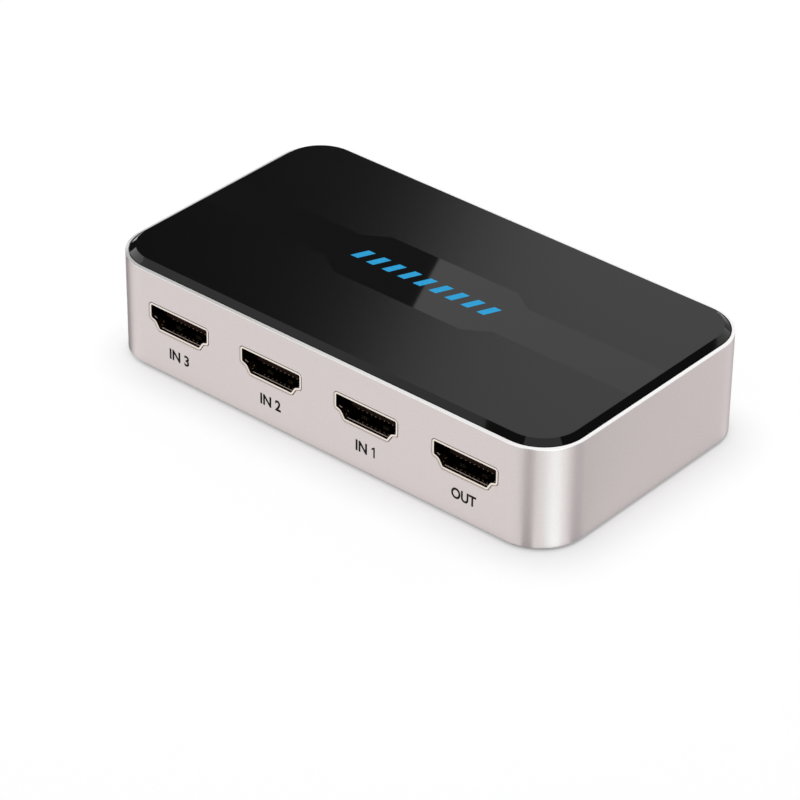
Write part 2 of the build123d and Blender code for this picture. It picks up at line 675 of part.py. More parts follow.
def inlet_insulator():
    """The power inlet's plastic block and tongue."""
    body = inward(inlet_mouth(-BLOCK_GAP), INLET_BLOCK_FRONT, INLET_BLOCK_BACK)
    half = INLET_TONGUE_WIDTH / 2
    tongue_z = (INLET_TONGUE_BOTTOM, INLET_TONGUE_BOTTOM + INLET_TONGUE_THICKNESS)
    body += block((-half, half), (INLET_TONGUE_FRONT, INLET_BLOCK_BACK), tongue_z)
    reach = CONTACT_WIDTH / 2 + CONTACT_SLOT_GAP
    slot_z = (INLET_TONGUE_BOTTOM - CONTACT_THICKNESS - CONTACT_SLOT_GAP, INLET_TONGUE_BOTTOM)
    slot_y = (INLET_BLOCK_FRONT - CUT, INLET_BLOCK_BACK + CUT)
    slots = [block((x - reach, x + reach), slot_y, slot_z) for x in inlet_contact_x()]
    return Pos(0, INLET_SET_BACK, 0) * (body - slots)


def inlet_contacts():
    """The power inlet's five contacts."""
    z = INLET_TONGUE_BOTTOM - CONTACT_THICKNESS
    strips = [bent_strip(x, CONTACT_WIDTH, INLET_CONTACT_TIP, z, CONTACT_THICKNESS,
                         INLET_BLOCK_BACK, -INLET_SHELL_WALL, CONTACT_FOOT) for x in inlet_contact_x()]
    return [Pos(0, INLET_SET_BACK, 0) * strip for strip in strips]


def select_button():
    """The button cap: an oblong face through the wall, a flange behind it and a stem."""
    flange_front = WALL + FITTING_GAP
    flange_back = flange_front + BUTTON_FLANGE
    cap = inward(button_outline(), -BUTTON_PROUD, flange_back)
    cap = fillet(cap.edges().group_by(Axis.Y)[0], BUTTON_EDGE)
    cap += inward(button_outline(BUTTON_FLANGE_REACH), flange_front, flange_back)
    return cap + rod(0, FITTING_Z, flange_back, flange_back + BUTTON_STEM, BUTTON_STEM_RADIUS)


def plunger_depths():
    """Depths of the plunger's front, its flange's front and its back."""
    front = SWITCH_FRONT - PLUNGER_REACH
    flange = SWITCH_FRONT + SWITCH_FRAME + PLUNGER_GAP
    return front, flange, flange + PLUNGER_FLANGE


def switch_plunger():
    """The switch's round plunger, held behind the frame by its flange."""
    front, flange, back = plunger_depths()
    return rod(0, FITTING_Z, front, back, PLUNGER_RADIUS) + rod(0, FITTING_Z, flange, back, PLUNGER_FLANGE_RADIUS)


def dome_depths():
    """Depths of the snap dome's crown and of its rim."""
    crown = plunger_depths()[2]
    return crown, crown + DOME_RISE


def switch_dome():
    """The thin snap dome that returns the plunger."""
    crown, rim = dome_depths()
    sphere = (DOME_RADIUS ** 2 + DOME_RISE ** 2) / (2 * DOME_RISE)
    ball = Sphere(sphere) - Sphere(sphere - DOME_THICKNESS)
    cap = (-DOME_RADIUS - CUT, DOME_RADIUS + CUT)
    centre = Pos(0, crown + sphere, FITTING_Z)
    return (centre * ball) & block(cap, (crown, rim), (FITTING_Z + cap[0], FITTING_Z + cap[1]))


def switch_base():
    """The switch's plastic base, with the recess that holds the dome."""
    front = SWITCH_FRONT + SWITCH_FRAME
    half = SWITCH_WIDTH / 2
    base = block((-half, half), (front, SWITCH_BACK), (BOARD_TOP, BOARD_TOP + SWITCH_HEIGHT))
    recess = PLUNGER_FLANGE_RADIUS + RECESS_GAP
    return base - rod(0, FITTING_Z, front - CUT, dome_depths()[1], recess)


def switch_frame():
    """The metal plate over the switch's front, with legs through the board."""
    half = SWITCH_WIDTH / 2 + SWITCH_FRAME
    plate_z = (BOARD_TOP, BOARD_TOP + SWITCH_HEIGHT)
    frame = block((-half, half), (SWITCH_FRONT, SWITCH_FRONT + SWITCH_FRAME), plate_z)
    frame -= rod(0, FITTING_Z, SWITCH_FRONT - CUT, SWITCH_FRONT + CUT, PLUNGER_RADIUS + PLUNGER_GAP)
    for x, y in frame_leg_ranges():
        frame += block(x, (SWITCH_FRONT, y[1]), (BOARD_TOP, FITTING_Z))
        frame += block(x, y, (BOARD_BOTTOM - LEAD_TAIL, FITTING_Z))
    return frame


def switch_terminals():
    """The switch's two terminals, down through the board."""
    z = (BOARD_BOTTOM - LEAD_TAIL, BOARD_TOP)
    return group((block(x, y, z) for x, y in terminal_ranges()), BUTTON_PLACE)


def lamp():
    """One round lamp with a domed tip, flush with the wall, and a flange at its back."""
    body = rod(0, FITTING_Z, LAMP_RADIUS, LAMP_LENGTH, LAMP_RADIUS)
    body += Pos(0, LAMP_RADIUS, FITTING_Z) * Sphere(LAMP_RADIUS)
    return body + rod(0, FITTING_Z, LAMP_LENGTH - LAMP_FLANGE, LAMP_LENGTH, LAMP_FLANGE_RADIUS)


def lamp_holder():
    """The plastic block behind a lamp that holds its leads square to the board."""
    half = HOLDER_WIDTH / 2
    back = LAMP_LENGTH + HOLDER_DEPTH
    holder = block((-half, half), (LAMP_LENGTH, back), (BOARD_TOP, BOARD_TOP + HOLDER_HEIGHT))
    z = (FITTING_Z - LAMP_LEAD / 2 - CONTACT_SLOT_GAP, FITTING_Z + LAMP_LEAD / 2 + CONTACT_SLOT_GAP)
    for low, high in lamp_lead_x():
        slot_x = (low - CONTACT_SLOT_GAP, high + CONTACT_SLOT_GAP)
        holder -= block(slot_x, (LAMP_LENGTH - CUT, back + CUT), z)
    return holder


def lamp_leads():
    """All lamps' leads, from the lamp through its holder and down through the board."""
    strips = []
    for place in LAMP_PLACES:
        for low, high in lamp_lead_x():
            lead = bent_strip((low + high) / 2, LAMP_LEAD, LAMP_LENGTH, FITTING_Z - LAMP_LEAD / 2, LAMP_LEAD,
                              LAMP_LENGTH + HOLDER_DEPTH, BOARD_BOTTOM - LEAD_TAIL)
            strips.append(place * lead)
    return group(strips)


def ir_window():
    """The dark infrared window, flush in the wall, with a flange behind it."""
    front = rod(0, FITTING_Z, 0, WALL, WINDOW_RADIUS)
    return front + rod(0, FITTING_Z, WALL, WALL + WINDOW_FLANGE, WINDOW_FLANGE_RADIUS)


def ir_receiver():
    """The infrared receiver's moulded body with its round lens."""
    half = RECEIVER_WIDTH / 2
    bottom = BOARD_TOP + RECEIVER_BASE
    y = (RECEIVER_FRONT, RECEIVER_FRONT + RECEIVER_DEPTH)
    body = block((-half, half), y, (bottom, bottom + RECEIVER_HEIGHT))
    lens = Sphere(RECEIVER_LENS_RADIUS)
    return body + Pos(0, RECEIVER_FRONT + RECEIVER_LENS_SINK, FITTING_Z) * lens


def ir_receiver_leads():
    """The receiver's three leads."""
    z = (BOARD_BOTTOM - LEAD_TAIL, BOARD_TOP + RECEIVER_BASE)
    return group((block(x, y, z) for x, y in receiver_lead_ranges()), WINDOW_PLACE)


def chip_body(size):
    """A chip's moulded body, just above the board, at the origin in plan."""
    length, width, height = size
    body = block((-length / 2, length / 2), (-width / 2, width / 2), (BOARD_TOP + CHIP_LIFT, BOARD_TOP + height))
    return chamfer(body.edges().group_by(Axis.Z)[-1], CHIP_LIFT)


def chip_pin(edge, width=PIN_WIDTH):
    """One bent pin on the +y side of a chip whose body ends at an edge."""
    lift = BOARD_TOP + PIN_LIFT
    points = [
        (edge, lift),
        (edge, lift + PIN_THICKNESS),
        (edge + PIN_REACH / 2, lift + PIN_THICKNESS),
        (edge + PIN_REACH / 2, BOARD_TOP + PIN_THICKNESS),
        (edge + PIN_REACH, BOARD_TOP + PIN_THICKNESS),
        (edge + PIN_REACH, BOARD_TOP),
        (edge + PIN_REACH / 2 - PIN_THICKNESS, BOARD_TOP),
        (edge + PIN_REACH / 2 - PIN_THICKNESS, lift),
    ]
    return across(points, -width / 2, width / 2)


def chip_pins(width, count, pitch, turns):
    """A row of pins on each turned side of a chip."""
    pin = chip_pin(width / 2)
    row = [(i - (count - 1) / 2) * pitch for i in range(count)]
    return [Rot(0, 0, turn) * Pos(x, 0, 0) * pin for turn in turns for x in row]


CHIP_PLACE = Pos(COLUMN_X[3], MIDDLE_Y, 0)
CONTROLLER_PLACE = Pos(COLUMN_X[2], MIDDLE_Y - ROW_Y, 0)
CRYSTAL_PLACE = Pos(COLUMN_X[2], MIDDLE_Y + ROW_Y / 2, 0)
REGULATOR_PLACE = Pos(COLUMN_X[0], MIDDLE_Y + ROW_Y, 0)
INDUCTOR_PLACE = Pos(COLUMN_X[1], MIDDLE_Y - ROW_Y, 0)
CAN_PLACES = [Pos(COLUMN_X[1], MIDDLE_Y + ROW_Y, 0), Pos(COLUMN_X[0], MIDDLE_Y - ROW_Y, 0)]


def regulator_pins():
    """The regulator's three pins and its wide tab."""
    edge = REGULATOR_SIZE[1] / 2
    pins = [Rot(0, 0, 180) * Pos(i * REGULATOR_PIN_PITCH, 0, 0) * chip_pin(edge) for i in (-1, 0, 1)]
    return group([*pins, chip_pin(edge, REGULATOR_TAB_WIDTH)], REGULATOR_PLACE)


def power_inductor():
    """The shielded inductor of the power supply."""
    length, width, height = INDUCTOR_SIZE
    outline = RectangleRounded(length, width, INDUCTOR_CORNER)
    return INDUCTOR_PLACE * Pos(0, 0, BOARD_TOP) * extrude(outline, amount=height)


def bulk_capacitors():
    """Two round capacitor cans on square bases."""
    half = (-CAN_BASE / 2, CAN_BASE / 2)
    can = block(half, half, (BOARD_TOP, BOARD_TOP + CAN_BASE_HEIGHT))
    can += post(0, 0, BOARD_TOP + CAN_BASE_HEIGHT, BOARD_TOP + CAN_HEIGHT, CAN_RADIUS)
    return group(place * can for place in CAN_PLACES)


def crystal():
    """The crystal in its oblong metal can."""
    length, width, height = CRYSTAL_SIZE
    can = extrude(SlotOverall(length, width), amount=height)
    return CRYSTAL_PLACE * Pos(0, 0, BOARD_TOP) * can


def small_parts(height, side):
    """Rows of small two-ended parts on two sides of the switching chip and in the last column."""
    length, width, _ = SMALL_SIZE
    part = block((-length / 2, length / 2), (-width / 2, width / 2), (BOARD_TOP, BOARD_TOP + height))
    reach = CHIP_SIZE[1] / 2 + PIN_REACH + SMALL_SIZE[0]
    row = [(i - 1.5) * SMALL_PITCH for i in range(4)]
    parts = [CHIP_PLACE * Pos(x, side * reach, 0) * part for x in row]
    last = Pos(COLUMN_X[4], MIDDLE_Y, 0)
    parts += [last * Pos(side * SMALL_PITCH / 2, y, 0) * part for y in row]
    return group(parts)


def surge_arrays():
    """Two surge protection arrays behind each socket."""
    length, width, height = ARRAY_SIZE
    part = block((-length / 2, length / 2), (-width / 2, width / 2), (BOARD_TOP, BOARD_TOP + height))
    y = PORTS_BACK_Y + ARRAY_SET_BACK
    return group(Pos(x + side * ARRAY_X, y, 0) * part for x in PORT_X for side in (-1, 1))


def all_nodes():
    """Every sub-part under its node's name."""
    nodes = {
        "housing_band": housing_band(),
        "top_panel": top_panel(),
        "panel_tape": panel_tape(),
        "bottom_cover": bottom_cover(),
        "rubber_feet": rubber_feet(),
        "cover_screws": cover_screws(),
        "board_screws": board_screws(),
        "circuit_board": circuit_board(),
        "power_inlet_shell": INLET_PLACE * inlet_shell(),
        "power_inlet_insulator": INLET_PLACE * inlet_insulator(),
        "power_inlet_contacts": group(inlet_contacts(), INLET_PLACE),
        "select_button": BUTTON_PLACE * select_button(),
        "switch_plunger": BUTTON_PLACE * switch_plunger(),
        "switch_dome": BUTTON_PLACE * switch_dome(),
        "switch_base": BUTTON_PLACE * switch_base(),
        "switch_frame": BUTTON_PLACE * switch_frame(),
        "switch_terminals": switch_terminals(),
        "lamp_holders": group(place * lamp_holder() for place in LAMP_PLACES),
        "lamp_leads": lamp_leads(),
        "ir_window": WINDOW_PLACE * ir_window(),
        "ir_receiver": WINDOW_PLACE * ir_receiver(),
        "ir_receiver_leads": ir_receiver_leads(),
        "switching_chip": CHIP_PLACE * chip_body(CHIP_SIZE),
        "switching_chip_pins": group(
            chip_pins(CHIP_SIZE[1], CHIP_PINS_PER_SIDE, CHIP_PIN_PITCH, (0, 90, 180, 270)), CHIP_PLACE),
        "microcontroller": CONTROLLER_PLACE * chip_body(CONTROLLER_SIZE),
        "microcontroller_pins": group(
            chip_pins(CONTROLLER_SIZE[1], CONTROLLER_PINS_PER_SIDE, CONTROLLER_PIN_PITCH, (0, 180)),
            CONTROLLER_PLACE),
        "voltage_regulator": REGULATOR_PLACE * chip_body(REGULATOR_SIZE),
        "voltage_regulator_pins": regulator_pins(),
        "power_inductor": power_inductor(),
        "bulk_capacitors": bulk_capacitors(),
        "crystal": crystal(),
        "ceramic_capacitors": small_parts(SMALL_SIZE[2], 1),
        "chip_resistors": small_parts(RESISTOR_HEIGHT, -1),
        "surge_arrays": surge_arrays(),
    }
    lamp_names = ("power_lamp", "channel_lamp_1", "channel_lamp_2", "channel_lamp_3")
    for name, place in zip(lamp_names, LAMP_PLACES):
        nodes[name] = place * lamp()
    shell, insulator, contacts = hdmi_shell(), hdmi_insulator(), hdmi_contacts()
    for name, place in zip(PORT_NAMES, PORT_PLACES):
        nodes[f"hdmi_shell_{name}"] = place * shell
        nodes[f"hdmi_insulator_{name}"] = place * insulator
        nodes[f"hdmi_contacts_{name}"] = group(contacts, place)
    return nodes


for node, shape in all_nodes().items():
    export_step(shape, f"parts/{node}.step")
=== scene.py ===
"""The looks of a small HDMI switch box: camera, studio, printed marks and a finish for every part.

Metres. X runs along the box, the sockets face -Y, and Z is up from the feet. Sizes in millimetres are times
MM. Colours are linear, and 1 is white.
"""
import json
import math

import bmesh
import bpy
from mathutils import Matrix, Vector


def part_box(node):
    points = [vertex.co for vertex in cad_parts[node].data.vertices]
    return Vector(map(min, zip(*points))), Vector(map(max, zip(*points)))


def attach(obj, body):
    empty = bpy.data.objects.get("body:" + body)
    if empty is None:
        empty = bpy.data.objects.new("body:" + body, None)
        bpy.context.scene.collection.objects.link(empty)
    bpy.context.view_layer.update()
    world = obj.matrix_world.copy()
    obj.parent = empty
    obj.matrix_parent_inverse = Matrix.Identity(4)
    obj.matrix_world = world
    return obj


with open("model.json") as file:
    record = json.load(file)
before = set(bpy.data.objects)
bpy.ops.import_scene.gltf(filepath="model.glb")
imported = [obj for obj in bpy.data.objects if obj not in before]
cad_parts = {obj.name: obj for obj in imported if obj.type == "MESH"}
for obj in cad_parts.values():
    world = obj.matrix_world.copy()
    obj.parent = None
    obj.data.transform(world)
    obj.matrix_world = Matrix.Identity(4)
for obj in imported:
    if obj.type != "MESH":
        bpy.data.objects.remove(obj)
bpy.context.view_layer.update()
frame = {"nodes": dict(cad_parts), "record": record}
scene = bpy.context.scene

MM = 0.001

# Camera, at the photograph's angle and distance. It aims a little beside and below a point low in the box
LENS = 163.18
SENSOR = 36.0
CLIP_START = 0.01
CLIP_END = 50
CAMERA_AZIMUTH = math.radians(40.344)
CAMERA_ELEVATION = math.radians(32.977)
CAMERA_ROLL = math.radians(0.691)
CAMERA_DISTANCE = 670.04 * MM
AIM_RIGHT = -4.351 * MM
AIM_UP = -3.161 * MM
AIM_HEIGHT = 0.5 * MM

# Studio. A lift is a glow that makes the floor white where it is seen, or pale where metal mirrors it
ROOM_LIGHT = 0.50
KEY_POWER = 7.1
KEY_SIZE = 0.85
KEY_PLACE = (-0.12, 0.10, 1.20)
FLOOR_SIZE = 8.0
FLOOR_COLOUR = (0.62, 0.62, 0.63)
FLOOR_ROUGHNESS = 0.9
FLOOR_LIFT = 0.43
MIRRORED_FLOOR_COLOUR = (0.15, 0.15, 0.15)
MIRRORED_FLOOR_LIFT = 0.88

# A darker patch of floor under the box, a painted contact shadow, which deepens the line where its walls meet
# the floor
SHADED_FLOOR_LIFT = 0.29
SHADED_FLOOR_REACH = -0.25 * MM
SHADED_FLOOR_SHIFT = (0.10 * MM, 0.35 * MM)
SHADED_FLOOR_HEIGHT = 0.02 * MM

# Cards that only mirrors see. One that lies has its outline in plan and a height, one that stands has its
# line in plan and the heights of both edges, and each says how bright it is
STRIP_LIFT = 0.2 * MM
BACK_CARD_HEIGHT = 0.70
FRONT_CARD_HEIGHT = 0.80
DARK_CARD = 0.01
FAR_CARD = 0.30
CARDS = {
    "card_for_lid": (
        [(-0.993, 1.45), (-0.530, 0.453), (-0.90, 0.45), (-1.25, 0.80), (-1.35, 1.45)],
        BACK_CARD_HEIGHT, 0.045,
    ),
    "card_for_rim": (
        [(-0.49, -0.25), (-0.49, 0.40), (-0.90, 0.445), (-1.25, 0.795), (-1.45, 0.70), (-1.15, 0.25),
         (-1.05, -0.25)],
        BACK_CARD_HEIGHT, 0.42,
    ),
    "card_for_left_rim": ([(-1.42, 0.75), (-1.10, 1.16)], (0.06, 0.62), 0.62),
    "card_for_front_chamfer": (
        [(-0.526, -0.66), (-0.06, -0.63), (-0.12, -0.36), (-0.526, -0.40)],
        FRONT_CARD_HEIGHT, DARK_CARD,
    ),
    "card_for_right_chamfer": (
        [(0.456, 0.13), (0.696, 0.03), (0.80, 0.50), (0.83, 1.011), (0.56, 1.011), (0.56, 0.50)],
        FRONT_CARD_HEIGHT, DARK_CARD,
    ),
    "card_for_left_chamfer": ([(-1.030, 0.115), (-0.941, 0.434)], (0.0, 0.20), DARK_CARD),
    "card_for_left_chamfer_low": (
        [(-0.066, 0.0), (-0.090, 0.0), (-0.16, 0.02), (-1.0, 0.15), (-0.93, 0.45), (-0.17, 0.10),
         (-0.066, 0.03)],
        STRIP_LIFT, DARK_CARD,
    ),
    "card_for_far_chamfer": ([(0.10, 1.0), (-0.25, 1.0)], (0.0, 0.16), FAR_CARD),
    "card_for_far_chamfer_low": (
        [(0.06, 0.16), (0.12, 1.0), (-0.27, 1.0), (-0.03, 0.13)],
        STRIP_LIFT, FAR_CARD,
    ),
    "bright_card": ([(-1.35, -0.66), (-1.49, 0.18)], (0.20, 1.30), 2.0),
}

# Strips on the floor that the band's corners mirror: the corner, the two angles of it that show the strip's
# edges, in degrees from the sockets' wall, and its colour. The right wall mirrors one strip of its own
CORNER_STRIPS = [
    ("near", 21, 32.5, (0.39, 0.39, 0.39)),
    ("near", 32.5, 44, (1.05, 1.08, 1.09)),
    ("near", 44, 50, (1.25, 1.35, 1.35)),
    ("near", 50, 62, (1.52, 1.69, 1.70)),
    ("near", 62, 68, (1.22, 1.27, 1.28)),
    ("near", 74, 90, (0.52, 0.51, 0.53)),
    ("far_right", 90, 97, (0.82, 0.80, 0.82)),
    ("far_right", 97, 106, (1.00, 0.97, 0.99)),
    ("far_right", 106, 113, (0.58, 0.58, 0.60)),
    ("far_right", 113, 145, (0.45, 0.45, 0.46)),
    ("left", -60, -50, (0.60, 0.60, 0.62)),
    ("left", -50, -39, (2.0, 2.0, 2.05)),
    ("left", -39, -24, (0.0, 0.0, 0.0)),
    ("left", -24, -18, (0.62, 0.62, 0.63)),
]
STRIP_LENGTH = 0.25
STRIP_STEPS = 6
# The right wall's strip is painted shade: a grey strip that stands in for the shaded floor beside that wall
RIGHT_WALL_LIGHT = (0.805, 0.785, 0.800)

# A dark card under the box, which the foot of its walls mirrors: painted shade in place of the shaded floor
# under the box
UNDER_CARD_REACH = 0.5 * MM
UNDER_CARD_LIFT = 0.3 * MM
UNDER_CARD_LIGHT = 0.18

# The band's corners in plan, and the steps that the box's outline takes round each of them
CORNER_RADIUS = 9.5 * MM
CORNER_STEPS = 8

# Marks printed on the box. Points of a mark that are nearer together than SAME_POINT are one
INK_THICKNESS = 0.01 * MM
INK_MOTTLE = 0.5 * MM
INK_DARKENING = 0.93
INK_SHINE = 0.1
SAME_POINT = 1e-7
ACCENT_COLOUR = (0.020, 0.37, 0.72)
ACCENT_ROUGHNESS = 0.30
LABEL_COLOUR = (0.004, 0.002, 0.002)
LABEL_ROUGHNESS = 0.5
STRIPE_COUNT = 9
STRIPE_PITCH = 3.75 * MM
STRIPE_WIDTH = 1.7 * MM
STRIPE_HEIGHT = 3.4 * MM
STRIPE_SLANT = 1.5 * MM
LABEL_HEIGHT = 2.3 * MM
LABEL_Z = 5.65 * MM
LABELS = {
    "input_3": ("IN 3", 4.9 * MM),
    "input_2": ("IN 2", 5.0 * MM),
    "input_1": ("IN 1", 4.5 * MM),
    "output": ("OUT", 5.6 * MM),
}
LAMP_LABEL_HEIGHT = 1.8 * MM
LAMP_LABEL_DROP = 4.2 * MM
LAMP_LABEL_WIDTHS = {"1": 0.6 * MM, "2": 1.0 * MM, "3": 1.0 * MM}

# The letters before they are sized, in the font's own unit, and the outline of a figure 1 that is 1 high
LETTER_SWELL = 0.030
LETTER_CURVE_STEPS = 5
WORD_SPACE = 0.38
FIGURE_ONE = [(0.20, 0.0), (0.37, 0.0), (0.37, 1.0), (0.23, 1.0), (0.0, 0.83), (0.0, 0.66), (0.20, 0.80)]

# The part of a noise's range that takes a finish from one of its two ends to the other
NOISE_LOW = 0.3
NOISE_HIGH = 0.7

# The band: satin, with painted shade darkening the broken edges at the openings in its flat long walls, and a
# polished rim. A surface whose normal has less than FACING_WALL along Y is turned away from those walls
BAND_SATIN = ((0.697, 0.634, 0.624), (0.733, 0.670, 0.659))
BAND_MOTTLE = 0.35 * MM
BAND_ROUGHNESS = 0.46
BAND_GRAIN = 0.12 * MM
BAND_RELIEF = 0.01 * MM
BAND_RELIEF_STRENGTH = 0.10
BROKEN_EDGE = 0.16 * MM
BROKEN_EDGE_SHADE_COLOUR = (0.58, 0.50, 0.47)
FACING_WALL = 0.97
FLAT_WALL_HALF_LENGTH = 43.0 * MM
RIM_DEPTH = 0.27 * MM
RIM_SOFTNESS = 0.05 * MM
RIM_COLOUR = (0.95, 0.94, 0.93)
RIM_ROUGHNESS = 0.24

# The lid: a gloss band along it that widens round its middle, and satin on the rest of its top
GLOSS_HALF_WIDTH = 5.05 * MM
GLOSS_MIDDLE_HALF_WIDTH = 8.2 * MM
GLOSS_MIDDLE_FLAT = 15.0 * MM
GLOSS_MIDDLE_END = 20.0 * MM
GLOSS_COLOUR = (0.0056, 0.0056, 0.0058)
GLOSS_ROUGHNESS = 0.02
SATIN_COLOUR = (0.0009, 0.0009, 0.0010)
SATIN_ROUGHNESS = 0.16
SATIN_DEPTH = 0.01 * MM
SATIN_GRAIN = 0.09 * MM
SATIN_RELIEF = 0.004 * MM
SATIN_RELIEF_STRENGTH = 0.12

# The socket shells: gilt on the front edge, painted shade darkening the sleeve from SLEEVE_START to
# SLEEVE_FULL behind it, and a painted highlight along the sleeve's floor. A floor's normal has more than
# FACING_UP along Z
GILT = ((0.80, 0.725, 0.655), (0.86, 0.785, 0.710))
GILT_MOTTLE = 0.6 * MM
GILT_ROUGHNESS = 0.30
SLEEVE_START = 0.02 * MM
SLEEVE_FULL = 0.12 * MM
SLEEVE_SHADE_COLOUR = (0.22, 0.17, 0.135)
SLEEVE_ROUGHNESS = 0.14
LIP_HIGHLIGHT_DEPTH = 0.68 * MM
LIP_HIGHLIGHT_WIDTH = 0.22 * MM
LIP_HIGHLIGHT_COLOUR = (0.95, 0.78, 0.70)
FACING_UP = 0.9

# Moulded plastics: two colours to wander between, roughness, size and height of the texture, and, where it
# isn't the usual 0.5, how much they shine
PLASTICS = {
    "adhesive_tape": ((0.72, 0.70, 0.64), (0.80, 0.78, 0.72), 0.55, 0.3 * MM, 0.01 * MM),
    "cover_plastic": ((0.016, 0.016, 0.017), (0.022, 0.022, 0.023), 0.50, 0.25 * MM, 0.02 * MM),
    "foot_rubber": ((0.020, 0.020, 0.020), (0.030, 0.030, 0.030), 0.75, 0.15 * MM, 0.02 * MM),
    "insulator_black": ((0.021, 0.010, 0.008), (0.027, 0.013, 0.010), 0.50, 0.2 * MM, 0.006 * MM, 0.03),
    "button_gloss": ((0.008, 0.008, 0.008), (0.011, 0.011, 0.011), 0.14, 0.3 * MM, 0.001 * MM),
    "switch_plastic": ((0.020, 0.020, 0.022), (0.028, 0.028, 0.030), 0.48, 0.2 * MM, 0.01 * MM),
    "window_dark": ((0.012, 0.003, 0.004), (0.018, 0.004, 0.005), 0.08, 0.4 * MM, 0.001 * MM),
    "receiver_epoxy": ((0.012, 0.011, 0.013), (0.017, 0.016, 0.018), 0.25, 0.4 * MM, 0.002 * MM),
    "chip_epoxy": ((0.014, 0.014, 0.014), (0.020, 0.020, 0.020), 0.62, 0.12 * MM, 0.01 * MM),
    "ferrite_grey": ((0.055, 0.055, 0.060), (0.075, 0.075, 0.080), 0.60, 0.15 * MM, 0.02 * MM),
    "capacitor_tan": ((0.40, 0.27, 0.16), (0.47, 0.33, 0.20), 0.50, 0.2 * MM, 0.005 * MM),
}
PLASTIC_SHADE_GRAINS = 4
PLASTIC_SHEEN_GRAINS = 2
PLASTIC_ROUGHNESS_SWING = 0.04
PLASTIC_RELIEF_STRENGTH = 0.4

# Plated and rolled metals: two colours to wander between, roughness, and the size of the rolling marks
METALS = {
    "screw_steel": ((0.40, 0.40, 0.41), (0.50, 0.50, 0.51), 0.32, 0.6 * MM),
    "contact_gold": ((0.60, 0.51, 0.38), (0.67, 0.58, 0.44), 0.22, 0.5 * MM),
    "inlet_steel": ((0.62, 0.61, 0.58), (0.70, 0.69, 0.66), 0.26, 0.5 * MM),
    "tinned_lead": ((0.66, 0.66, 0.66), (0.76, 0.76, 0.75), 0.30, 0.4 * MM),
    "can_metal": ((0.70, 0.70, 0.71), (0.78, 0.78, 0.79), 0.24, 0.8 * MM),
}
METAL_ROUGHNESS_SWING = 0.05
METAL_GRAINS_PER_MARK = 4
METAL_RELIEF = 0.002 * MM
METAL_RELIEF_STRENGTH = 0.3
MARK_STRETCH = (1, 0.15, 1)

# The lamps' epoxy, a little cloudy
EPOXY_COLOURS = ((0.90, 0.91, 0.90), (0.97, 0.97, 0.96))
EPOXY_MOTTLE = 0.8 * MM
EPOXY_HAZE = (0.10, 0.18)
EPOXY_HAZE_SIZE = 0.5 * MM

# The board's green solder mask over glass cloth
CLOTH_COLOURS = ((0.010, 0.070, 0.032), (0.013, 0.082, 0.038))
CLOTH_PITCH = 0.6 * MM
CLOTH_ROUGHNESS = (0.32, 0.42)
CLOTH_RELIEF = 0.01 * MM
CLOTH_RELIEF_STRENGTH = 0.2


class Nodes:
    """A node tree under construction."""

    def __init__(self, tree):
        self.tree = tree

    def feed(self, node, inputs):
        """Sets a node's inputs, each from a value or from another node's output."""
        for key, value in inputs.items():
            socket = node.inputs[key]
            if isinstance(value, bpy.types.NodeSocket):
                self.tree.links.new(value, socket)
            elif isinstance(value, tuple) and len(value) == 3 and socket.type == "RGBA":
                socket.default_value = (*value, 1)
            else:
                socket.default_value = value

    def node(self, kind, output=0, inputs=None, **settings):
        """Adds a node and returns one of its outputs."""
        node = self.tree.nodes.new(kind)
        for key, value in settings.items():
            setattr(node, key, value)
        self.feed(node, inputs or {})
        return node.outputs[output]

    def axes(self, vector):
        """A vector's three parts."""
        separate = self.node("ShaderNodeSeparateXYZ", inputs={0: vector}).node
        return separate.outputs[0], separate.outputs[1], separate.outputs[2]

    def calculate(self, operation, *values):
        """One step of arithmetic."""
        return self.node("ShaderNodeMath", inputs=dict(enumerate(values)), operation=operation)

    def above(self, value, limit):
        """1 where a value is greater than a limit, otherwise 0."""
        return self.calculate("GREATER_THAN", value, limit)

    def within(self, value, limit):
        """1 where a value is nearer to 0 than a limit, otherwise 0."""
        return self.calculate("LESS_THAN", self.calculate("ABSOLUTE", value), limit)

    def both(self, first, second):
        """1 where two values are 1."""
        return self.calculate("MULTIPLY", first, second)

    def ramp(self, value, low, high, start=0.0, end=1.0):
        """Maps a value from one range to another and holds it there."""
        inputs = {"Value": value, "From Min": low, "From Max": high, "To Min": start, "To Max": end}
        return self.node("ShaderNodeMapRange", inputs=inputs)

    def blend(self, factor, low, high):
        """Mixes two colours."""
        mix = self.node("ShaderNodeMix", data_type="RGBA").node
        for index, value in ((0, factor), (6, low), (7, high)):
            self.feed(mix, {index: value})
        return mix.outputs[2]

    def rays(self, *kinds):
        """1 for rays of the named kinds, otherwise 0."""
        path = self.node("ShaderNodeLightPath").node
        found, *others = [path.outputs[f"Is {kind} Ray"] for kind in kinds]
        for other in others:
            found = self.calculate("MAXIMUM", found, other)
        return found


